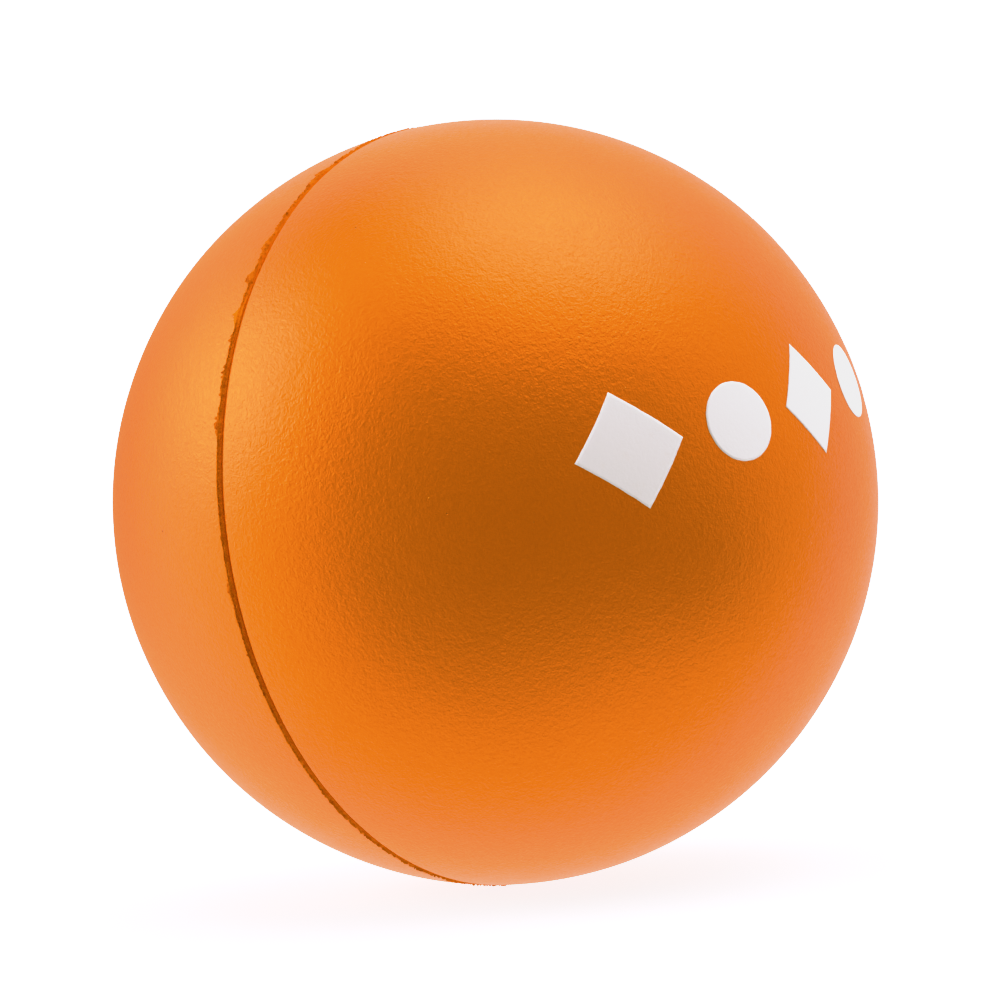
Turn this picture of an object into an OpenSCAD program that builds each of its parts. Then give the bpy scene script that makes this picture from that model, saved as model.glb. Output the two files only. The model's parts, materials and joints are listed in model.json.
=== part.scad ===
// Squeeze ball of self-skinning foam, made in a mould of two half-round cavities.
// A soft open-cell core sits in a dense skin. Each half of the skin carries the colour coat of its own
// cavity, a trimmed web of flash is left where the halves met, and one half has a printed row of shapes.
//
// The origin is the centre of the ball and +Z is up. The mould's parting plane is the YZ plane, so the two
// halves face +X and -X, and the print is on the +X half.

/* [Ball] */

// Outer diameter of the coated ball
ball_d = 70; // [55:1:80]

// Thickness of the dense skin on the foam
skin_t = 2; // [1:0.25:4]

// Thickness of the colour coat on the skin
coat_t = 0.15; // [0.1:0.05:0.3]

/* [Parting line] */

// Width of the gap between the two halves
seam_w = 0.5; // [0.3:0.05:0.8]

// Height of the trimmed flash above the colour coat
flash_proud = 0.1; // [0.05:0.05:0.3]

/* [Print] */

// Thickness of the ink
ink_t = 0.06; // [0.05:0.01:0.15]

// Distance from one shape of the row to the next
mark_pitch = 9.6; // [9:0.1:11]

// Height of a diamond
diamond_h = 9.5; // [6:0.5:11]

// Width of a diamond
diamond_w = 8; // [5:0.5:9]

// Diameter of a dot
dot_d = 6.5; // [4:0.5:7]

// Height of the row's middle above the ball's centre
row_z = 5.5; // [-8:0.5:8]

// Slope of the row
row_tilt = 12; // [-30:1:30]

/* [Hidden] */

$fn = 96;

// Clearance between neighbouring layers, which keeps their round faces apart
gap = 0.05;

// Radii, from the outside in
coat_r = ball_d / 2;
skin_r = coat_r - coat_t - gap;
core_r = skin_r - skin_t - gap;
ink_r = coat_r + gap;

// The flash fills the gap between the halves, less its clearance on both sides
flash_t = seam_w - 2 * gap;

// A cutting body that reaches past the whole ball
past = 2 * ball_d;

// The sides of the parting plane
RIGHT = 1;
LEFT = -1;

// The row has a diamond at each end and in the middle, with a dot between them
MARK_PLACES = [-2:2];

FOAM_COLOUR = [0.94, 0.86, 0.66];
SKIN_COLOUR = [0.90, 0.74, 0.46];
COAT_COLOUR = [0.92, 0.46, 0.10];
FLASH_COLOUR = [0.66, 0.32, 0.07];
INK_COLOUR = [0.98, 0.95, 0.92];

module shell(outer_r, inner_r) {
    difference() {
        sphere(r = outer_r);
        sphere(r = inner_r);
    }
}

// All of the space on one side of the parting plane, less half of the gap
module side_space(side) {
    translate([side * (past + seam_w) / 2, 0, 0])
        cube(past, center = true);
}

module half_shell(outer_r, inner_r, side) {
    intersection() {
        shell(outer_r, inner_r);
        side_space(side);
    }
}

// The soft, open-cell middle of the ball
module foam_core() {
    color(FOAM_COLOUR)
        sphere(r = core_r);
}

// The dense skin that forms against the wall of one cavity
module skin(side) {
    color(SKIN_COLOUR)
        half_shell(skin_r, skin_r - skin_t, side);
}

// The colour coat, sprayed into one cavity before the foam is poured
module coat(side) {
    color(COAT_COLOUR)
        half_shell(coat_r, coat_r - coat_t, side);
}

// The web of foam that ran into the parting gap, trimmed close to the ball. It thins out to an edge at its
// crest and at its root.
module parting_flash() {
    root_r = core_r + gap;
    crest_r = coat_r + flash_proud;
    edge = flash_t / 2;
    color(FLASH_COLOUR)
        rotate([0, 90, 0])
            rotate_extrude()
                polygon([
                    [root_r, 0],
                    [root_r + edge, -edge],
                    [crest_r - edge, -edge],
                    [crest_r, 0],
                    [crest_r - edge, edge],
                    [root_r + edge, edge]
                ]);
}

module diamond() {
    polygon([
        [diamond_w / 2, 0],
        [0, diamond_h / 2],
        [-diamond_w / 2, 0],
        [0, -diamond_h / 2]
    ]);
}

module dot() {
    circle(d = dot_d);
}

// One shape of the row, cut from the film of ink by pressing it straight onto the ball along X
module ink_patch(place) {
    intersection() {
        shell(ink_r + ink_t, ink_r);
        rotate([90, 0, 90])
            linear_extrude(past)
                translate([0, row_z])
                    rotate(row_tilt)
                        translate([place * mark_pitch, 0])
                            if (place % 2 == 0) diamond(); else dot();
    }
}

// The printed row of diamonds and dots
module printed_mark() {
    color(INK_COLOUR)
        for (place = MARK_PLACES)
            ink_patch(place);
}

foam_core();
skin(RIGHT);  // skin_right
skin(LEFT);  // skin_left
coat(RIGHT);  // coat_right
coat(LEFT);  // coat_left
parting_flash();
printed_mark();
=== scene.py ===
# %% [markdown]
# # A stress ball of moulded foam
# This ball is cast in a mould of two half-round cavities. Each cavity is sprayed with orange colour first,
# then foam is poured in. It swells, presses a dense skin against the wall, and stays soft in the middle.
# Some foam runs into the gap between the cavities, and a knife trims that flash off. Last comes the print.
# So the ball is seven pieces, and each of them gets its own mesh and its own finish below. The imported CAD
# model comes first, because every size in this lesson is measured on it.

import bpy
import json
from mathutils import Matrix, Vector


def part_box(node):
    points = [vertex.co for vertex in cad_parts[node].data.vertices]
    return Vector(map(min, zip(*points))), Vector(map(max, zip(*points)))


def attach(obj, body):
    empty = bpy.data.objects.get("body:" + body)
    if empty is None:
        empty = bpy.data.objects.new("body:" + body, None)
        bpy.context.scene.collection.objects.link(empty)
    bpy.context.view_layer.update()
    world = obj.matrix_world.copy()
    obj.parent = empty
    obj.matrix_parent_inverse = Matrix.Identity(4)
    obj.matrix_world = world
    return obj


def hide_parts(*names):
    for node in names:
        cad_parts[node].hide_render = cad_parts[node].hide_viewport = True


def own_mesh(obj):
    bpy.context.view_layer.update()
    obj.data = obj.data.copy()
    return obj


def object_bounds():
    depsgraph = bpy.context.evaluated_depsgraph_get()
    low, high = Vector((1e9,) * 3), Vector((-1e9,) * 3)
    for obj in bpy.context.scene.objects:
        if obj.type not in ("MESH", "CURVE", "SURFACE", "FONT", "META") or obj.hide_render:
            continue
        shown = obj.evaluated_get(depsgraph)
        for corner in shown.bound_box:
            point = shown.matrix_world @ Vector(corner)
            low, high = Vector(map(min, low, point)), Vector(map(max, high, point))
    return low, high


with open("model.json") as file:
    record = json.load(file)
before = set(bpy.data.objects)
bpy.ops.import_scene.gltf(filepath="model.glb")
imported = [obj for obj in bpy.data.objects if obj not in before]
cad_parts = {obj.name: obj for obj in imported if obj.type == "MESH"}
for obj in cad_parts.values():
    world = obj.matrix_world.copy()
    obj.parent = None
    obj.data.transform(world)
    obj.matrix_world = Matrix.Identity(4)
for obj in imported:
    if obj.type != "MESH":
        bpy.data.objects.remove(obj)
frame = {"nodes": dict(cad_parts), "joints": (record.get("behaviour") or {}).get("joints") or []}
cad_low, cad_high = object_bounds()
print("nodes:", sorted(frame["nodes"]))

# %% The other modules
import json
import math

import bmesh
import bpy
from mathutils import Matrix, Vector, noise

# %% [markdown]
# ## Sizes
# The lesson works in millimetres, because a coat of 0.15 mm is hard to read in metres, and each mesh is
# scaled to metres when it is finished. The radii come from the boxes of the CAD nodes. The CAD model keeps
# the layers a little apart, and that clearance is found from the ring of flash and the groove that it is in.
# The CAD groove is wide enough to hold the flash with that clearance on both sides. A trimmed parting line
# looks finer, so the lesson pinches the groove by a tenth of a millimetre or so on each side.

# %% Measure the CAD nodes
MM = 0.001


def reach(node):
    """The highest corner of a CAD node, in millimetres."""
    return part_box(node)[1] / MM


BALL_R = reach("coat_right").x
SKIN_R = reach("skin_right").x
CORE_R = reach("foam_core").x
CAD_GROOVE_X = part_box("coat_right")[0].x / MM
CLEARANCE = CAD_GROOVE_X - reach("parting_flash").x
PINCH_MM = 0.12
GROOVE_X = CAD_GROOVE_X - PINCH_MM
FLASH_X = GROOVE_X - CLEARANCE
COAT_T = BALL_R - SKIN_R - CLEARANCE
SKIN_T = SKIN_R - CORE_R - CLEARANCE
print(f"ball {2 * BALL_R:.2f} mm across, coat {COAT_T:.2f} mm, skin {SKIN_T:.2f} mm")
print(f"groove {2 * GROOVE_X:.2f} mm wide, clearance {CLEARANCE:.3f} mm")

# %% [markdown]
# ## Helpers for outlines
# Every round piece here is an outline turned about the X axis, as on a lathe. The outline itself is drawn
# by moving one vertex: a spin of a single vertex leaves an arc behind, and an extrude leaves a straight
# line. That is easier to follow than a list of points, and the arcs stay true arcs.

# %% Arcs, lines and the lathe
HALF_TURN = math.pi
FULL_TURN = math.tau


def arc(bm, end, centre, turn, steps):
    """Sweep a vertex round a centre in the XZ plane, from X towards Z, and return the far end."""
    swept = bmesh.ops.spin(
        bm, geom=[end], cent=(centre[0], 0, centre[1]), axis=(0, -1, 0), dvec=(0, 0, 0),
        angle=turn, steps=steps, use_merge=False, use_duplicate=False,
    )
    return next(v for v in swept["geom_last"] if isinstance(v, bmesh.types.BMVert))


def line(bm, end, x, z, steps=1):
    """Draw a straight line from a vertex to (x, z), in equal steps, and return the far end."""
    start, stop = end.co.copy(), Vector((x, 0, z))
    for step in range(1, steps + 1):
        end = bmesh.ops.extrude_vert_indiv(bm, verts=[end])["verts"][0]
        end.co = start.lerp(stop, step / steps)
    return end


def lathe(bm, steps):
    """Turn the outline about the X axis: spin an eighth of the way, then double it three times."""
    eighth = FULL_TURN / 8
    bmesh.ops.spin(
        bm, geom=bm.verts[:] + bm.edges[:], cent=(0, 0, 0), axis=(1, 0, 0), dvec=(0, 0, 0),
        angle=eighth, steps=steps // 8, use_merge=False, use_duplicate=False,
    )
    for turn in (eighth, 2 * eighth, 4 * eighth):
        copied = bmesh.ops.duplicate(bm, geom=bm.verts[:] + bm.edges[:] + bm.faces[:])
        verts = [v for v in copied["geom"] if isinstance(v, bmesh.types.BMVert)]
        bmesh.ops.rotate(bm, cent=(0, 0, 0), matrix=Matrix.Rotation(turn, 3, "X"), verts=verts)


# %% Close a mesh and make it a piece
MERGE_MM = 0.001


def close_up(bm):
    """Merge the doubles that a spin or a mirror leaves, and turn the faces outwards."""
    bmesh.ops.remove_doubles(bm, verts=bm.verts, dist=MERGE_MM)
    bmesh.ops.recalc_face_normals(bm, faces=bm.faces)


def make_piece(name, bm):
    """A finished object from a mesh in millimetres, at the origin, unturned and unscaled."""
    bmesh.ops.scale(bm, vec=(MM, MM, MM), verts=bm.verts)
    for face in bm.faces:
        face.smooth = True
    mesh = bpy.data.meshes.new(name)
    bm.to_mesh(mesh)
    open_edges = sum(not edge.is_manifold for edge in bm.edges)
    triangles = sum(len(face.verts) - 2 for face in bm.faces)
    bm.free()
    piece = bpy.data.objects.new(name, mesh)
    bpy.context.scene.collection.objects.link(piece)
    print(f"{name}: {triangles} triangles, {open_edges} open edges")
    return piece


# %% [markdown]
# ## Small unevenness
# A cast foam ball isn't as true as the CAD model. The skin swells and sinks by a few hundredths of a
# millimetre, and the edges beside the groove wander. Both come from Blender's own noise, which gives the
# same value at the same place each time. The coat and the skin below it use the same two functions, and the
# ink above them swells by the same noise, so the layers move together and never cut through each other.
# The left edge is frayed as well, because the knife ran along it.

# %% Swelling and wandering
SWELL_MM = 0.025
SWELL_SIZE_MM = 9.0
WANDER_MM = 0.06
WANDER_SIZE_MM = 3.5
FRAY_MM = 0.12
FRAY_SIZE_MM = 0.40
WANDER_REACH_MM = 1.5
EDGE_SEED_MM = 40
RIGHT = 1
LEFT = -1


def smooth_step(low, high, value):
    """0 below low, 1 above high, and an S-shaped rise between them."""
    share = min(1.0, max(0.0, (value - low) / (high - low)))
    return share * share * (3 - 2 * share)


def swell(point):
    """How far the ball's skin stands proud at a point, in millimetres."""
    return SWELL_MM * noise.noise(point / SWELL_SIZE_MM)


def wander(point, side):
    """How far an edge of the groove has moved back from the mould line, in millimetres."""
    on_edge = Vector((EDGE_SEED_MM * side, point.y, point.z))
    back = WANDER_MM * abs(noise.noise(on_edge / WANDER_SIZE_MM))
    if side == LEFT:
        back += FRAY_MM * abs(noise.noise(on_edge / FRAY_SIZE_MM))
    return back


def make_uneven(bm, side):
    """Swell a half ball and let its edge wander."""
    for vert in bm.verts:
        point = vert.co.copy()
        near_edge = 1 - smooth_step(GROOVE_X, GROOVE_X + WANDER_REACH_MM, abs(point.x))
        vert.co += point.normalized() * swell(point)
        vert.co.x += side * wander(point, side) * near_edge


print(f"the skin swells by up to {SWELL_MM} mm, its edges wander by up to {WANDER_MM + FRAY_MM:.2f} mm")

# %% [markdown]
# ## The two halves of the coat
# The coat is a thin half shell. Where the cavities met, it turns inwards over a rounded lip and runs down
# the side of the groove. The lip is wide on the right half. On the left half it is almost sharp, because
# the knife followed that side. A plain half sphere would show neither, so the outline is drawn with its
# lip, and the lathe does the rest. The left half is made the same way and then turned over with a mirror.

# %% Turn an outline into a half ball
SIDE_NAME = {RIGHT: "right", LEFT: "left"}


def turn_half(bm, side, turns):
    """Put the outline on the lathe, turn the left half over, and make the result closed and uneven."""
    lathe(bm, turns)
    if side == LEFT:
        bmesh.ops.scale(bm, vec=(-1, 1, 1), verts=bm.verts)
    close_up(bm)
    make_uneven(bm, side)


# %% Make the coat
LIP_R = {RIGHT: 0.45, LEFT: 0.16}
LIP_DEPTH_MM = 0.5
COAT_OUT_STEPS = 130
COAT_LIP_STEPS = 8
COAT_END_STEPS = 4
COAT_SIDE_STEPS = 2
COAT_IN_STEPS = 30
COAT_TURNS = 440


def coat_half(side):
    """A closed half shell: the outside, the lip, the side of the groove, and the inside again."""
    lip_r = LIP_R[side]
    lip_x = GROOVE_X + lip_r
    lip_z = math.sqrt((BALL_R - lip_r) ** 2 - lip_x ** 2)
    foot_z = lip_z - LIP_DEPTH_MM
    slant = math.atan2(lip_z, lip_x)
    bm = bmesh.new()
    end = bm.verts.new((BALL_R, 0, 0))
    end = arc(bm, end, (0, 0), slant, COAT_OUT_STEPS)
    end = arc(bm, end, (lip_x, lip_z), HALF_TURN - slant, COAT_LIP_STEPS)
    end = line(bm, end, GROOVE_X, foot_z, COAT_SIDE_STEPS)
    end = arc(bm, end, (GROOVE_X + COAT_T / 2, foot_z), HALF_TURN, COAT_END_STEPS)
    end = line(bm, end, GROOVE_X + COAT_T, lip_z, COAT_SIDE_STEPS)
    end = arc(bm, end, (lip_x, lip_z), slant - HALF_TURN, COAT_LIP_STEPS)
    arc(bm, end, (0, 0), -slant, COAT_IN_STEPS)
    turn_half(bm, side, COAT_TURNS)
    return make_piece(f"coat_half_{SIDE_NAME[side]}", bm)


coats = {side: coat_half(side) for side in (RIGHT, LEFT)}

# %% [markdown]
# ## The two halves of the skin
# Under the coat is two millimetres of dense foam. It follows the coat's lip, a clearance further in, and
# its inner wall is where the dense foam turns into the open foam. Its outline is simpler than the coat's: a
# lip, a straight side and a round inside. Nobody sees it until the ball is cut open, so it has fewer steps.

# %% Make the skin
SKIN_LIP_MORE_MM = 0.45
SKIN_OUT_STEPS = 70
SKIN_LIP_STEPS = 6
SKIN_SIDE_STEPS = 6
SKIN_IN_STEPS = 50
SKIN_TURNS = 240


def skin_half(side):
    """A closed half shell of dense foam: the outside, a rounded lip, a flat side and the inside."""
    lip_r = LIP_R[side] + SKIN_LIP_MORE_MM
    side_x = GROOVE_X + COAT_T + CLEARANCE
    lip_x = side_x + lip_r
    lip_z = math.sqrt((SKIN_R - lip_r) ** 2 - lip_x ** 2)
    slant = math.atan2(lip_z, lip_x)
    foot_z = math.sqrt((SKIN_R - SKIN_T) ** 2 - side_x ** 2)
    bm = bmesh.new()
    end = bm.verts.new((SKIN_R, 0, 0))
    end = arc(bm, end, (0, 0), slant, SKIN_OUT_STEPS)
    end = arc(bm, end, (lip_x, lip_z), HALF_TURN - slant, SKIN_LIP_STEPS)
    end = line(bm, end, side_x, foot_z, SKIN_SIDE_STEPS)
    arc(bm, end, (0, 0), -math.atan2(foot_z, side_x), SKIN_IN_STEPS)
    turn_half(bm, side, SKIN_TURNS)
    return make_piece(f"skin_half_{SIDE_NAME[side]}", bm)


skins = {side: skin_half(side) for side in (RIGHT, LEFT)}

# %% [markdown]
# ## The foam core
# The core is open foam: a ball full of bubbles that broke into each other. An icosphere has no poles, so
# its points are evenly spread and the bubbles come out the same size everywhere. Each point is pressed in
# by a cell noise, deepest in the middle of a bubble, and never out, so the core stays inside its skin.

# %% Make the foam core
CORE_SUBDIVISIONS = 7
BUBBLE_SIZE_MM = 2.2
BUBBLE_DEPTH_MM = 0.55
BUBBLE_STEEPNESS = 2
SAG_MM = 0.12


def foam_ball():
    """A ball whose points are pressed in by bubbles, and by a slower noise that lets it sag a little."""
    bm = bmesh.new()
    bmesh.ops.create_icosphere(bm, subdivisions=CORE_SUBDIVISIONS, radius=CORE_R - SWELL_MM)
    for vert in bm.verts:
        distances, _ = noise.voronoi(vert.co / BUBBLE_SIZE_MM)
        inside = min(1.0, BUBBLE_STEEPNESS * (distances[1] - distances[0]))
        sag = SAG_MM * (1 + noise.noise(vert.co / SWELL_SIZE_MM))
        vert.co -= vert.co.normalized() * (BUBBLE_DEPTH_MM * inside * inside + sag)
    return make_piece("foam_ball", bm)


core = foam_ball()

# %% [markdown]
# ## The trimmed flash
# The flash is a thin web of foam in the groove. The knife leaves a rough, torn crest on the left side and
# a clean, deeper channel along the right lip, which looks like a dark line. Small beads of foam stand over
# the left edge everywhere, and here and there a whole rag of foam was pressed flat on the left half. The
# outline is a tall narrow strip whose top is cut into small steps. After the lathe, each point of the top is
# moved by noise that depends on its place round the ball. The small steps just below the crest, on the
# strip's left side, become the underside of the rags, so a rag has a thickness.

# %% Sizes of the flash
CREST_BELOW_MM = 0.04
CHANNEL_BELOW_MM = 0.16
ROOT_R = CORE_R + CLEARANCE
CREST_R = BALL_R - CREST_BELOW_MM
CHANNEL_R = BALL_R - CHANNEL_BELOW_MM
CHANNEL_FROM_X = 0.07
CHANNEL_TO_X = -0.04
FLASH_TURNS = 2400
TOP_STEPS = 16
FLAP_STEPS = 4
SIDE_STEPS = 3
FLAP_BAND_MM = 0.02
print(f"flash {2 * FLASH_X:.2f} mm thick, from {ROOT_R:.2f} to {CREST_R:.2f} mm from the X axis")

# %% Sizes of its tears, beads and rags
TEAR_MM = 0.08
TEAR_SIZE_MM = 0.28
LUMP_MM = 0.05
LUMP_SIZE_MM = 0.9
BEAD_MM = 0.45
RAG_MM = 3.2
RAG_SIZE_MM = 2.0
RAG_T_MM = 0.11
LIFT_MM = 0.015
FILL_SIZE_MM = 7.0
SEED = {"tear": 3, "lump": 5, "rag": 11, "bead": 23, "rag edge": 31, "fill": 57}

# %% Where the rags are
# The first two values are heights from the ball's middle, as shares of its radius.
RAG_ABOVE_Z = -0.2
RAG_FULL_Z = 0.9
RAG_THRESHOLD = 0.15
MORE_RAGS_UP = 0.18
RAG_SHAPE_LEAST = 0.7
RAG_FRAY = 0.3
RAG_LEAST_SHARE = 0.2
MORE_BEADS_UP = 0.5
FILL_FROM = 0.30
FILL_TO = 0.42


def round_the_ball(point, size, seed):
    """Noise from -1 to 1 that depends on the place along the groove, and a little on the place across."""
    return noise.noise(Vector((point.x + seed, point.y, point.z)) / size)


def rag_reach(point):
    """How far a rag of foam lies over the left half. There are more of them near the top of the ball."""
    along = Vector((0, point.y, point.z))
    height = smooth_step(RAG_ABOVE_Z, RAG_FULL_Z, along.z / BALL_R)
    torn = abs(round_the_ball(along, TEAR_SIZE_MM, SEED["bead"]))
    bead = BEAD_MM * torn * (1 + MORE_BEADS_UP * height)
    lump = round_the_ball(along, RAG_SIZE_MM, SEED["rag"])
    rag = max(0.0, lump - RAG_THRESHOLD + MORE_RAGS_UP * height)
    edge = abs(round_the_ball(along, LUMP_SIZE_MM, SEED["rag edge"]))
    shape = RAG_SHAPE_LEAST + edge + RAG_FRAY * torn
    share = RAG_LEAST_SHARE + (1 - RAG_LEAST_SHARE) * height
    return RAG_MM * rag * share * shape + bead


def fill_share(point):
    """1 where the foam filled the groove to the top and the knife left it there, and 0 elsewhere."""
    along = Vector((0, point.y, point.z))
    return smooth_step(FILL_FROM, FILL_TO, round_the_ball(along, FILL_SIZE_MM, SEED["fill"]))


# %% Make the ring before it is torn
def flash_ring():
    """The strip of foam in the groove, with a sloping top that is cut into small steps."""
    bm = bmesh.new()
    end = bm.verts.new((0, 0, ROOT_R))
    end = line(bm, end, FLASH_X, ROOT_R + FLASH_X)
    end = line(bm, end, FLASH_X, CHANNEL_R, SIDE_STEPS)
    end = line(bm, end, -FLASH_X, CREST_R, TOP_STEPS)
    end = line(bm, end, -FLASH_X, CREST_R - FLAP_BAND_MM, FLAP_STEPS)
    end = line(bm, end, -FLASH_X, ROOT_R + FLASH_X, SIDE_STEPS)
    line(bm, end, 0, ROOT_R)
    bmesh.ops.remove_doubles(bm, verts=bm.verts, dist=MERGE_MM)
    lathe(bm, FLASH_TURNS)
    close_up(bm)
    return bm


# %% Tear the top of the flash
CHANNEL_TEAR = 0.35
FILLED_SMOOTHS = 0.6
RAG_ROOT = 0.55
RAG_LEAST_T = 0.6


def coat_radius(point, x):
    """Distance of the left half's surface from the X axis, at this x."""
    proud = BALL_R + swell(Vector((x, point.y, point.z)))
    return math.sqrt(proud * proud - x * x)


def torn_place(point, radius):
    """Where a point of the flash's top ends up: its x, and its distance from the X axis."""
    across = (FLASH_X - point.x) / (2 * FLASH_X)
    rag = rag_reach(point)
    filled = fill_share(point)
    if point.x < MERGE_MM - FLASH_X and radius < CREST_R - MERGE_MM:
        share = 1 - (CREST_R - radius) / FLAP_BAND_MM
        x = -FLASH_X - rag * share
        return x, max(radius, coat_radius(point, x) + LIFT_MM) if x < -GROOVE_X else radius
    crest = smooth_step(-CHANNEL_FROM_X, -CHANNEL_TO_X, -point.x)
    level = CHANNEL_R + (CREST_R - CHANNEL_R) * max(crest, filled)
    tear = TEAR_MM * round_the_ball(point, TEAR_SIZE_MM, SEED["tear"])
    tear += LUMP_MM * round_the_ball(point, LUMP_SIZE_MM, SEED["lump"])
    level += tear * (CHANNEL_TEAR + (1 - CHANNEL_TEAR) * crest) * (1 - FILLED_SMOOTHS * filled)
    x = point.x - rag * smooth_step(RAG_ROOT, 1.0, across)
    if x < -GROOVE_X:
        tip = (x + GROOVE_X) / min(-MERGE_MM, GROOVE_X - FLASH_X - rag)
        thickness = RAG_T_MM * (1 - tip * tip) * (RAG_LEAST_T + abs(tear) / TEAR_MM)
        level = coat_radius(point, x) + LIFT_MM + thickness
    return x, level


# %% Stain it
CHANNEL_STAIN = 0.2
CREST_STAIN = 0.55
STAIN_FROM = -0.6
STAIN_TO = 0.4
RAG_STAIN_MM = 0.15
FILLED_CLEANS = 0.85


def stain_at(point, x):
    """How brown the foam is: a little in the channel, more on the crest, most on a rag."""
    crest = smooth_step(STAIN_FROM, STAIN_TO, -x / FLASH_X)
    on_strip = CHANNEL_STAIN + (CREST_STAIN - CHANNEL_STAIN) * crest
    on_rag = smooth_step(GROOVE_X, GROOVE_X + RAG_STAIN_MM, -x)
    return (1 - FILLED_CLEANS * fill_share(point)) * max(on_strip, on_rag)


def tear_flash(bm):
    """Move the top of the flash, and note how stained each point is."""
    stain = bm.verts.layers.float.new("stain")
    for vert in bm.verts:
        point = vert.co.copy()
        radius = math.hypot(point.y, point.z)
        x, new_radius = point.x, radius
        if radius > CHANNEL_R - MERGE_MM:
            x, new_radius = torn_place(point, radius)
        vert.co = (x, point.y * new_radius / radius, point.z * new_radius / radius)
        vert[stain] = stain_at(point, x)


flash_bm = flash_ring()
tear_flash(flash_bm)
longest_rag = -min(vert.co.x for vert in flash_bm.verts) - GROOVE_X
print(f"the longest rag reaches {longest_rag:.2f} mm over the left half")
flash = make_piece("trimmed_flash_ring", flash_bm)

# %% [markdown]
# ## The printed row
# The print is a film of ink that a soft pad pressed onto the right half, straight along X: a row of
# diamonds and dots that climbs to the right. Each shape starts as a flat outline. Rings of it, each a bit
# smaller, fill it with even faces. Its edge is made a little uneven, as pad printing leaves it, and every
# point is then moved along X until it lies on the ball. The film gets its thickness last.

# %% Values of the print
PITCH_MM = 9.6
DIAMOND_H_MM = 9.5
DIAMOND_W_MM = 8.0
DOT_MM = 6.5
ROW_Z_MM = 5.5
ROW_TILT = math.radians(12)
PLACES = range(-2, 3)
INK_T_MM = 0.02
INK_LIFT_MM = 0.006
CUTS_PER_SIDE = 23
RINGS = 14
INK_FRAY_MM = 0.03
INK_FRAY_SIZE_MM = 0.5
SHAPE_SEED_MM = 20
print(f"{len(PLACES)} shapes, {PITCH_MM} mm apart, in ink {INK_T_MM} mm thick")


# %% Draw one shape
def flat_shape(bm, place):
    """The outline of a diamond or a dot, filled with rings down to its middle, in the XY plane."""
    if place % 2:
        bmesh.ops.create_circle(bm, segments=4 * (CUTS_PER_SIDE + 1), radius=DOT_MM / 2)
    else:
        made = bmesh.ops.create_circle(bm, segments=4, radius=1)
        bmesh.ops.scale(bm, vec=(DIAMOND_W_MM / 2, DIAMOND_H_MM / 2, 1), verts=made["verts"])
        bmesh.ops.subdivide_edges(bm, edges=bm.edges[:], cuts=CUTS_PER_SIDE)
    ring = bm.edges[:]
    for step in range(RINGS, 1, -1):
        made = bmesh.ops.extrude_edge_only(bm, edges=ring)
        ring = [e for e in made["geom"] if isinstance(e, bmesh.types.BMEdge)]
        inner = [v for v in made["geom"] if isinstance(v, bmesh.types.BMVert)]
        shrink = (step - 1) / step
        bmesh.ops.scale(bm, vec=(shrink, shrink, 1), verts=inner)
        ring = [e for e in ring if all(v in set(inner) for v in e.verts)]
    bmesh.ops.holes_fill(bm, edges=ring)


def press_on(bm, place):
    """Put a flat shape at its place in the row and press it straight onto the ball."""
    row = Matrix.Translation((0, ROW_Z_MM, 0)) @ Matrix.Rotation(ROW_TILT, 4, "Z")
    row = row @ Matrix.Translation((place * PITCH_MM, 0, 0))
    bmesh.ops.transform(bm, matrix=row, verts=bm.verts)
    for vert in bm.verts:
        y, z = vert.co.x, vert.co.y
        point = Vector((math.sqrt(BALL_R ** 2 - y * y - z * z), y, z))
        vert.co = point.normalized() * (BALL_R + INK_LIFT_MM + swell(point))


# %% Make the printed row
def ink_patch(bm, place):
    """Add one shape of the row to the mesh, with the thickness of the film."""
    patch = bmesh.new()
    flat_shape(patch, place)
    for vert in (v for v in patch.verts if v.is_boundary):
        seed = Vector((vert.co.x, vert.co.y, SHAPE_SEED_MM * place))
        vert.co *= 1 + INK_FRAY_MM * noise.noise(seed / INK_FRAY_SIZE_MM) / vert.co.length
    press_on(patch, place)
    bmesh.ops.recalc_face_normals(patch, faces=patch.faces)
    if patch.faces[:][0].normal.x < 0:
        bmesh.ops.reverse_faces(patch, faces=patch.faces)
    film = bmesh.ops.extrude_face_region(patch, geom=patch.faces[:], use_keep_orig=True)
    for vert in (v for v in film["geom"] if isinstance(v, bmesh.types.BMVert)):
        vert.co += vert.co.normalized() * INK_T_MM
    close_up(patch)
    mesh = bpy.data.meshes.new("patch")
    patch.to_mesh(mesh)
    patch.free()
    bm.from_mesh(mesh)
    bpy.data.meshes.remove(mesh)


def printed_row():
    """All the shapes of the row, as one piece."""
    bm = bmesh.new()
    for place in PLACES:
        ink_patch(bm, place)
    return make_piece("printed_row", bm)


print_row = printed_row()

# %% [markdown]
# ## Shader arithmetic
# A finish is worked out from patterns, and a pattern is worked out with sums. The class below lets a
# node's output be used like a number in Python, so that a formula reads as one line instead of a tangle of
# Math nodes. Anything that isn't a sum goes through its one method, node.

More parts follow.
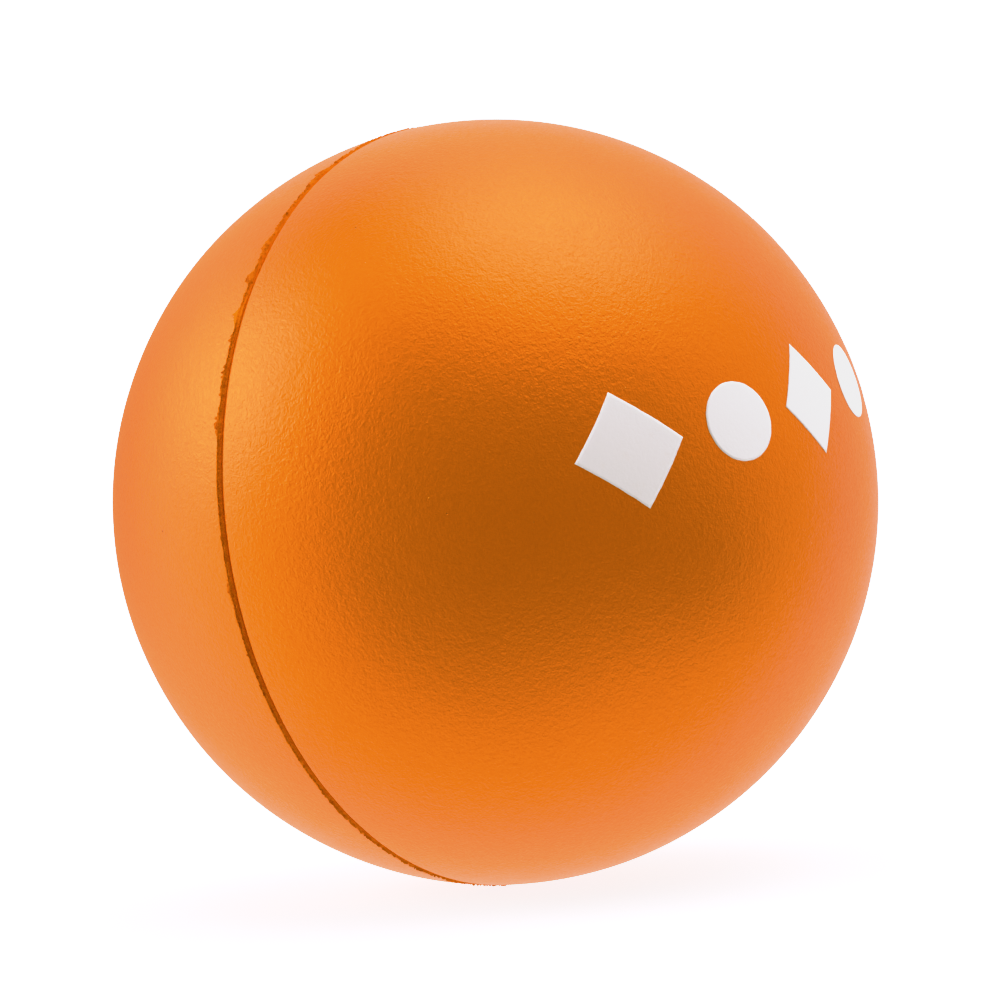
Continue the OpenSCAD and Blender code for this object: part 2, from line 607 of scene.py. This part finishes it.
# %% The wire class
class Wire:
    """One output of a shader node, or a whole node tree if it has no socket yet."""

    def __init__(self, tree, socket=None):
        self.tree = tree
        self.socket = socket

    def node(self, kind, settings=None, sockets=None, output=0):
        """Add a node: its settings first, then a value or a wire for each named or numbered socket."""
        made = self.tree.nodes.new(kind)
        for name, value in (settings or {}).items():
            setattr(made, name, value)
        for name, value in (sockets or {}).items():
            if isinstance(value, Wire):
                self.tree.links.new(value.socket, made.inputs[name])
            else:
                made.inputs[name].default_value = value
        return Wire(self.tree, made.outputs[output] if made.outputs else None)

    def math(self, operation, first, second=0.0):
        """One Math node."""
        return self.node("ShaderNodeMath", {"operation": operation}, {0: first, 1: second})

    def __add__(self, other):
        return self.math("ADD", self, other)

    __radd__ = __add__

    def __sub__(self, other):
        return self.math("SUBTRACT", self, other)

    def __rsub__(self, other):
        return self.math("SUBTRACT", other, self)

    def __mul__(self, other):
        return self.math("MULTIPLY", self, other)

    __rmul__ = __mul__

    def rise(self, low, high):
        """0 below low, 1 above high, and an S-shaped rise between them."""
        ends = {"Value": self, "From Min": low, "From Max": high}
        return self.node("ShaderNodeMapRange", {"interpolation_type": "SMOOTHSTEP"}, ends)


# %% Patterns that every finish uses
MIX_FACTOR = 0
MIX_COLOUR_A = 6
MIX_COLOUR_B = 7
MIX_COLOUR_RESULT = 2


def mix_colours(share, first, second):
    """The first colour where the share is 0, and the second where it is 1."""
    sockets = {MIX_FACTOR: share, MIX_COLOUR_A: first, MIX_COLOUR_B: second}
    return share.node("ShaderNodeMix", {"data_type": "RGBA"}, sockets, MIX_COLOUR_RESULT)


def noise_of(place, size_mm, detail=2.0, roughness=0.5):
    """Soft noise from 0 to 1, whose lumps are about size_mm across."""
    sockets = {"Vector": place, "Scale": 1 / (size_mm * MM), "Detail": detail, "Roughness": roughness}
    return place.node("ShaderNodeTexNoise", None, sockets)


def cells_of(place, size_mm, output="Distance"):
    """Cells of about size_mm across: the distance from a cell's middle, in cell sizes, or its colour."""
    sockets = {"Vector": place, "Scale": 1 / (size_mm * MM)}
    return place.node("ShaderNodeTexVoronoi", None, sockets, output)


def moved(place, x, y, z):
    """The same place, shifted in millimetres, so that a second pattern doesn't repeat the first."""
    shift = {0: place, 1: (x * MM, y * MM, z * MM)}
    return place.node("ShaderNodeVectorMath", {"operation": "ADD"}, shift)


def bumped(height, height_mm):
    """A normal from a height between 0 and 1 that stands for height_mm."""
    return height.node("ShaderNodeBump", None, {"Distance": height_mm * MM, "Height": height})


def new_finish(name):
    """An empty material, and the wire of its object coordinates."""
    material = bpy.data.materials.new(name)
    material.use_nodes = True
    material.node_tree.nodes.clear()
    start = Wire(material.node_tree)
    return material, start.node("ShaderNodeTexCoord", output="Object")


def surface(place, sockets):
    """The material's surface: a Principled shader with these sockets, joined to the output."""
    shader = place.node("ShaderNodeBsdfPrincipled", None, sockets)
    place.node("ShaderNodeOutputMaterial", None, {"Surface": shader})


# %% [markdown]
# ## The colour coat
# The coat is a flexible pearl lacquer. Its colour is in its reflections too, so it is part metal to the
# shader, and its gloss is soft. It has copied the sprayed cavity: a leathery grain of about a third of a
# millimetre, with a grain half as fine on top of it, and broken by softer dimples. There are sparse pinholes
# where bubbles broke, dented in, with painted shade in them, and grains of dust under the lacquer, raised a
# little, with a painted glint on them. Each tiny flake of pearl has a gloss of its own. All of it is made
# from object coordinates, so it sits still.

# %% The grain that the mould left
GRAIN_MM = 0.34
FINE_MM = 0.16
DIMPLE_MM = 0.9
GRAIN_HEIGHT_MM = 0.08
WARP_SIZE_MM = 1.4
WARP_MM = 0.15
GRAIN_SHARE = 0.6
FINE_SHARE = 0.35
DIMPLE_SHARE = 0.3


def mould_grain(place):
    """The height of the leathery grain, about 0.6 on average. The ink over it shows the same grain."""
    lumps = {"Vector": place, "Scale": 1 / (WARP_SIZE_MM * MM)}
    warp = place.node("ShaderNodeTexNoise", None, lumps, output="Color")
    push = place.node("ShaderNodeVectorMath", {"operation": "SCALE"}, {0: warp, "Scale": WARP_MM * MM})
    bent = place.node("ShaderNodeVectorMath", {"operation": "ADD"}, {0: place, 1: push})
    wrinkles = noise_of(bent, GRAIN_MM, detail=2.5, roughness=0.55)
    dimples = noise_of(moved(place, 7, 3, 5), DIMPLE_MM, detail=1.0)
    fine = noise_of(moved(place, 2, 8, 6), FINE_MM, detail=1.0)
    return GRAIN_SHARE * wrinkles + FINE_SHARE * fine + DIMPLE_SHARE * dimples


# %% Scattered spots
SPOT_CORE = 0.3
CHOICE_BAND = 0.02


def spots(place, spacing_mm, radius_mm, share):
    """Round spots: one in each cell of this spacing, in a share of the cells, 1 in the middle."""
    distance = cells_of(place, spacing_mm)
    chosen = cells_of(place, spacing_mm, output="Color").rise(share, share - CHOICE_BAND)
    radius = radius_mm / spacing_mm
    return distance.rise(radius, radius * SPOT_CORE) * chosen


# %% Make the coat's finish
COAT_LIGHT = (0.80, 0.164, 0.007, 1)
COAT_DEEP = (0.75, 0.150, 0.006, 1)
# Painted glint: the grains of dust are coloured lighter, as if they caught the light.
DUST_GLINT = (0.95, 0.42, 0.12, 1)
# Painted shade: the middle of each pinhole is coloured a darker brown.
PIN_SHADE = (0.30, 0.07, 0.006, 1)
FLECK_MM = 0.22
FLAKE_MM = 0.15
CLOUD_MM = 6.0
COAT_ROUGHNESS = 0.37
COAT_METALLIC = 0.5
COAT_SPECULAR = 0.65
LACQUER_IOR = 1.55


def coat_colour(place, dust_and_glint, pinholes_and_shade):
    """Two close oranges in fine flecks and soft clouds, with a painted glint on the dust and painted shade
    in the pinholes.
    """
    flecks = noise_of(moved(place, 6, 1, 2), FLECK_MM, detail=2.0, roughness=0.7).rise(0.35, 0.65)
    cloud = noise_of(place, CLOUD_MM, detail=3.0).rise(0.35, 0.70)
    colour = mix_colours(0.8 * flecks + 0.2 * cloud, COAT_LIGHT, COAT_DEEP)
    # Painted glint on the grains of dust.
    colour = mix_colours(0.6 * dust_and_glint, colour, DUST_GLINT)
    # Painted shade in the middle of each pinhole.
    return mix_colours(pinholes_and_shade, colour, PIN_SHADE)


def coat_finish():
    """The lacquer, with its grain, its pinholes 0.2 mm across and its dust 0.14 mm across."""
    material, place = new_finish("pearl_orange_coat")
    # The pinholes: dented in by the bump, and given painted shade in their middles.
    pinholes_and_shade = spots(moved(place, 11, 2, 8), spacing_mm=4.0, radius_mm=0.10, share=0.35)
    # The grains of dust: a little raised by the bump, and given a painted glint in the colour.
    dust_and_glint = spots(moved(place, 4, 15, 1), spacing_mm=2.2, radius_mm=0.07, share=0.60)
    height = mould_grain(place) + 0.5 * dust_and_glint - 0.8 * pinholes_and_shade
    patches = noise_of(moved(place, 1, 9, 4), 3.0, detail=4.0)
    flakes = cells_of(moved(place, 3, 3, 9), FLAKE_MM, output="Color")
    surface(place, {
        "Base Color": coat_colour(place, dust_and_glint, pinholes_and_shade),
        "Roughness": COAT_ROUGHNESS + 0.05 * patches + 0.12 * flakes,
        "Metallic": COAT_METALLIC,
        "IOR": LACQUER_IOR,
        "Specular IOR Level": COAT_SPECULAR,
        "Normal": bumped(height, GRAIN_HEIGHT_MM),
    })
    return material


# %% [markdown]
# ## The cut foam of the flash
# Where the knife went through, the flash is bare foam that soaked up colour from the coats: a dull,
# browner orange, with torn cells. The mesh says how stained each point is, in an attribute of its own: a
# little in the channel, more on the crest, most on the rags, and hardly at all where the groove is full.

# %% Make the flash's finish
FLASH_BROWN = (0.46, 0.080, 0.006, 1)
FLASH_ORANGE = (0.85, 0.190, 0.009, 1)
TORN_CELL_MM = 0.16
STAIN_PATCH_MM = 0.5
RUFFLE_MM = 0.3
TORN_DEPTH_MM = 0.05
FOAM_SPECULAR = 0.15


def flash_finish():
    """Dull foam between orange and brown, in patches, with a rough surface of torn cells."""
    material, place = new_finish("cut_foam_edge")
    stain = place.node("ShaderNodeAttribute", {"attribute_name": "stain"}, output="Fac")
    cells = cells_of(place, TORN_CELL_MM)
    patch = noise_of(place, STAIN_PATCH_MM, detail=3.0).rise(0.40, 0.62)
    colour = mix_colours(stain * (0.45 + 0.55 * patch), FLASH_ORANGE, FLASH_BROWN)
    surface(place, {
        "Base Color": colour,
        "Roughness": 0.70 + 0.2 * patch,
        "Specular IOR Level": FOAM_SPECULAR,
        "Normal": bumped(cells + noise_of(place, RUFFLE_MM, detail=3.0), TORN_DEPTH_MM),
    })
    return material


# %% [markdown]
# ## The ink
# Pad-printing ink is a matt warm white. It fills most of the coat's grain and shows the rest of it, and
# here and there it is a little thinner and warmer. The grain comes from the same function as the coat's.

# %% Make the ink's finish
INK_WHITE = (0.97, 0.91, 0.84, 1)
INK_THIN = (0.93, 0.82, 0.70, 1)
THIN_SPOT_MM = 1.6
INK_IOR = 1.45
INK_GRAIN_SHARE = 0.2


def ink_finish():
    """A matt white film, a little warmer in thin spots, over a fifth of the coat's grain."""
    material, place = new_finish("pad_print_ink")
    thin = noise_of(place, THIN_SPOT_MM, detail=4.0, roughness=0.6).rise(0.55, 0.85)
    surface(place, {
        "Base Color": mix_colours(0.35 * thin, INK_WHITE, INK_THIN),
        "Roughness": 0.45 + 0.15 * thin,
        "IOR": INK_IOR,
        "Normal": bumped(mould_grain(place), INK_GRAIN_SHARE * GRAIN_HEIGHT_MM),
    })
    return material


# %% [markdown]
# ## The foam inside
# Polyurethane foam is pale and turns amber with age. The skin is the same foam, so dense that its cells
# can only just be seen. In the core the cells are open: thin struts round hollows, and the hollows are
# painted darker as the shade in them.

# %% Make the finishes of the foam
SKIN_AMBER = (0.79, 0.51, 0.18, 1)
SKIN_PALE = (0.86, 0.64, 0.30, 1)
CORE_AMBER = (0.86, 0.71, 0.40, 1)
# Painted shade: the middle of each open cell is coloured darker.
CORE_HOLLOW_SHADE = (0.50, 0.33, 0.12, 1)
SKIN_CELL_MM = 0.25
SKIN_CLOUD_MM = 4.0
SKIN_CELL_DEPTH_MM = 0.04
SMALL_CELL_MM = 0.7
CORE_CELL_DEPTH_MM = 0.25


def skin_finish():
    """Dense amber foam with fine cells."""
    material, place = new_finish("dense_skin_foam")
    cells = cells_of(place, SKIN_CELL_MM)
    cloud = noise_of(place, SKIN_CLOUD_MM, detail=4.0)
    surface(place, {
        "Base Color": mix_colours(cloud, SKIN_AMBER, SKIN_PALE),
        "Roughness": 0.55 + 0.3 * cells,
        "Normal": bumped(cells, SKIN_CELL_DEPTH_MM),
    })
    return material


def core_finish():
    """Open foam, with painted shade in the middle of each cell, with small cells over the big ones."""
    material, place = new_finish("bubbly_core_foam")
    big = cells_of(place, BUBBLE_SIZE_MM)
    small = cells_of(place, SMALL_CELL_MM)
    # Painted shade in the hollows of the cells; the same share also dents them in the bump.
    hollow_and_shade = (0.6 * small + 0.4 * big).rise(0.55, 0.20)
    surface(place, {
        "Base Color": mix_colours(hollow_and_shade, CORE_AMBER, CORE_HOLLOW_SHADE),
        "Roughness": 0.9 - 0.15 * hollow_and_shade,
        "Normal": bumped(1 - hollow_and_shade, CORE_CELL_DEPTH_MM),
    })
    return material


# %% Put the finishes on
def dress(piece, material):
    """Give a piece its one material."""
    piece.data.materials.append(material)
    print(f"{piece.name} wears {material.name}")


coat_material = coat_finish()
skin_material = skin_finish()
for side in (RIGHT, LEFT):
    dress(coats[side], coat_material)
    dress(skins[side], skin_material)
dress(core, core_finish())
dress(flash, flash_finish())
dress(print_row, ink_finish())

# %% [markdown]
# ## The floor
# The ball lies on a plain white sheet. It is a wide disc, so its far edge is lost against the white tent.
# In a studio it is a sheet of white acrylic with lamps below, which washes out most of the shadow and lights
# the ball from underneath. Here the sheet glows for the same reason, and the tent's light passes through it
# to the ball, while the sheet still takes the ball's soft shadow.

# %% Make the floor
SEEN_WHITE = 2.0
FLOOR_GLOW = 1.0
FLOOR_R_M = 3.0
FLOOR_SEGMENTS = 96
MOTTLE_MM = 12.0
FLOOR_WHITE = (0.90, 0.90, 0.90, 1)
FLOOR_SHADE = (0.87, 0.87, 0.87, 1)


def floor_finish():
    """White acrylic with a faint mottle, which glows as if it was lit from below."""
    material, place = new_finish("white_sheet")
    mottle = noise_of(place, MOTTLE_MM, detail=3.0)
    surface(place, {
        "Base Color": mix_colours(mottle, FLOOR_WHITE, FLOOR_SHADE),
        "Roughness": 0.8,
        "Emission Color": FLOOR_WHITE,
        "Emission Strength": FLOOR_GLOW,
    })
    return material


def make_floor():
    """A disc under the ball, which neither lights the ball, shows in its gloss, nor shades it."""
    bm = bmesh.new()
    bmesh.ops.create_circle(bm, cap_ends=True, segments=FLOOR_SEGMENTS, radius=FLOOR_R_M)
    bmesh.ops.translate(bm, vec=(0, 0, cad_low.z), verts=bm.verts)
    mesh = bpy.data.meshes.new("floor")
    bm.to_mesh(mesh)
    bm.free()
    floor = bpy.data.objects.new("floor", mesh)
    bpy.context.scene.collection.objects.link(floor)
    dress(floor, floor_finish())
    floor.visible_diffuse = False
    floor.visible_glossy = False
    floor.visible_shadow = False
    print(f"floor {2 * FLOOR_R_M:.0f} m across, at {cad_low.z / MM:.1f} mm")


make_floor()

# %% [markdown]
# ## The camera
# The ball is seen from about 20 cm away with a long lens, a little below its middle, and the camera leans
# a few degrees. The distance comes from the share of the picture that the ball fills: a ball of radius R
# fills a cone whose half angle has a sine of R over the distance.

# %% Place the camera
LENS = 80.0
SENSOR = 36.0
BALL_SHARE = 0.766
AZIMUTH = math.radians(39.2)
ELEVATION = math.radians(-3)
LEAN = math.radians(4.35)
SHIFT_X = 0.0045
SHIFT_Y = 0.0021
CLIP_START_M = 0.01


def camera_axes():
    """The camera's right, up and backward directions, leaning included."""
    a, e = AZIMUTH, ELEVATION
    right = Vector((math.cos(a), math.sin(a), 0))
    up = Vector((-math.sin(a) * math.sin(e), math.cos(a) * math.sin(e), math.cos(e)))
    back = Vector((math.sin(a) * math.cos(e), -math.cos(a) * math.cos(e), math.sin(e)))
    leant_right = math.cos(LEAN) * right - math.sin(LEAN) * up
    leant_up = math.sin(LEAN) * right + math.cos(LEAN) * up
    return leant_right, leant_up, back


def place_camera():
    """A camera that looks at the ball's middle, from where the ball fills its share."""
    half_angle = math.atan(BALL_SHARE / 2 * SENSOR / LENS)
    distance = BALL_R * MM / math.sin(half_angle)
    data = bpy.data.cameras.new("camera")
    data.lens = LENS
    data.sensor_width = SENSOR
    data.shift_x = SHIFT_X
    data.shift_y = SHIFT_Y
    data.clip_start = CLIP_START_M
    camera = bpy.data.objects.new("camera", data)
    bpy.context.scene.collection.objects.link(camera)
    right, up, back = camera_axes()
    turn = Matrix((right, up, back)).transposed().to_4x4()
    camera.matrix_world = Matrix.Translation(back * distance) @ turn
    bpy.context.scene.camera = camera
    print(f"camera {distance:.3f} m away, {(back * distance).z - cad_low.z:.3f} m above the floor")


place_camera()

# %% [markdown]
# ## The light tent
# The ball stands in a white tent, which shines evenly from all sides and makes no hard shadow. The camera
# looks in through an opening, which the ball reflects as its dark middle. Two softboxes stand outside the
# cloth, one on the left and one overhead. Painting the tent on the world is the simplest way: each lamp is
# a soft round patch of the sky. The opening, the dimmer right side, the cloth's seams and a stand behind it
# give less light than the tent, so they are patches with a strength below zero. The camera itself sees only
# plain white behind the ball.

# %% Patches of light
TENT = 1.35
DARKEST = 0.03
TENT_WHITE = (1, 1, 1, 1)

# Each patch: degrees to the right of the camera, degrees above it, degrees from the patch's middle to where
# it starts to fade, the width of the fade in degrees, and how much light it adds to the tent's.
PATCHES = {
    "camera opening": (-10, 8, 45, 40, -1.0),
    "left softbox": (-85, 25, 10, 15, 3.5),
    "left softbox's foot": (-80, -15, 15, 30, 0.5),
    "top softbox": (45, 75, 15, 20, 2.5),
    "corner seam": (-120, 55, 0, 25, -1.4),
    "right side": (110, 40, 40, 30, -0.3),
    "back seam": (-145, 5, 5, 35, -1.0),
    "stand": (65, -15, 10, 15, -1.3),
}


def studio_direction(turn, height):
    """A direction from the ball, as degrees to the right of the camera and above its line."""
    right, up, back = camera_axes()
    t, h = math.radians(turn), math.radians(height)
    return right * math.sin(t) * math.cos(h) + up * math.sin(h) + back * math.cos(t) * math.cos(h)


print(f"{len(PATCHES)} patches on a tent of brightness {TENT}")

# %% Make the tent
def make_tent():
    """A world whose light is the tent's and its patches', and which looks plain white to the camera."""
    world = bpy.data.worlds.new("light_tent")
    bpy.context.scene.world = world
    world.use_nodes = True
    world.node_tree.nodes.clear()
    start = Wire(world.node_tree)
    look = start.node("ShaderNodeTexCoord", output="Generated")
    level = TENT
    for turn, height, inner, fade, strength in PATCHES.values():
        sockets = {0: look, 1: studio_direction(turn, height)}
        facing = look.node("ShaderNodeVectorMath", {"operation": "DOT_PRODUCT"}, sockets, "Value")
        away = start.math("ARCCOSINE", facing)
        patch = away.rise(math.radians(inner + fade), math.radians(inner))
        level = strength * patch + level
    level = start.math("MAXIMUM", level, DARKEST)
    seen = start.node("ShaderNodeLightPath", output="Is Camera Ray")
    shown = SEEN_WHITE * seen + (1 - seen) * level
    light = start.node("ShaderNodeBackground", None, {"Color": TENT_WHITE, "Strength": shown})
    start.node("ShaderNodeOutputWorld", None, {"Surface": light})


make_tent()

# %% [markdown]
# ## The camera's curve
# A camera doesn't clip a strong colour, it lets it roll off. Without that the red of a bright orange runs
# out of range and the highlights turn harsh. The plain Standard view with a curve on top does the same:
# it lifts the middle a little and then flattens, and only the white ground reaches full white. A second
# curve, for blue alone, holds back the weak blue of the lacquer's sheen, as a product photographer does
# to keep an orange clean. Blue that is much stronger, in the ink and the floor, isn't changed.

# %% Set the view
COMBINED_CURVE = 3
BLUE_CURVE = 2
ROLL_OFF = (
    (0.0, 0.0), (0.42, 0.42), (0.50, 0.52), (0.60, 0.66), (0.70, 0.78), (0.80, 0.84), (1.00, 0.865),
    (1.40, 0.89), (SEEN_WHITE, 1.0),
)
BLUE_HOLD = ((0.0, 0.0), (0.055, 0.01), (0.09, 0.055), (0.15, 0.085), (0.40, 0.40))


def shape_curve(curve, points, straight):
    """Put a curve through these points, with that many straight stretches before the smooth part."""
    curve.points[0].location = points[0]
    curve.points[1].location = points[-1]
    for x, y in points[1:-1]:
        curve.points.new(x, y)
    for number, point in enumerate(curve.points):
        point.handle_type = "VECTOR" if number <= straight else "AUTO_CLAMPED"


def set_view():
    """The Standard view with the two curves."""
    view = bpy.context.scene.view_settings
    view.view_transform = "Standard"
    view.use_curve_mapping = True
    mapping = view.curve_mapping
    mapping.use_clip = False
    mapping.extend = "EXTRAPOLATED"
    shape_curve(mapping.curves[COMBINED_CURVE], ROLL_OFF, straight=1)
    shape_curve(mapping.curves[BLUE_CURVE], BLUE_HOLD, straight=len(BLUE_HOLD))
    mapping.update()
    print(f"view curves through {len(ROLL_OFF)} and {len(BLUE_HOLD)} points")


set_view()

# %% [markdown]
# ## Moving with the CAD
# Squeezing brings the two halves together along X. Soft foam doesn't bulge much, it gets denser, so a
# squeezed ball keeps its height and loses a share of its width, which is worked out here from the joint's
# travel.
# The coats, the skins and the print ride on their halves of the ball, and the core and the flash ride on the
# core; each keeps a mesh of its own, and the CAD node that it stands for is hidden.

# %% Ride on the halves and the core
travel = next(joint for joint in frame["joints"] if joint["name"] == "squeeze")["range_m"][1]
KEEP = 1 - travel / (BALL_R * MM)


def on_half(piece, side, node):
    """The piece rides on one half of the ball, with a mesh of its own, in place of the CAD node."""
    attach(piece, f"{SIDE_NAME[side]}_half")
    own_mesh(piece)
    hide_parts(node)


def on_core(piece, node):
    """The piece rides on the core, with a mesh of its own, in place of the CAD node."""
    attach(piece, "core")
    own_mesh(piece)
    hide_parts(node)


for side, side_name in SIDE_NAME.items():
    on_half(coats[side], side, f"coat_{side_name}")
    on_half(skins[side], side, f"skin_{side_name}")
on_half(print_row, RIGHT, "printed_mark")
on_core(core, "foam_core")
on_core(flash, "parting_flash")
print(f"squeezed, the ball keeps {KEEP:.3f} of its width")

# %% [markdown]
# ## The CAD box
# The visual pieces have to stay within the CAD model's box, which is printed last.

# %% Print the CAD box
print("CAD box, mm:", [round(v / MM, 2) for v in (*cad_low, *cad_high)])
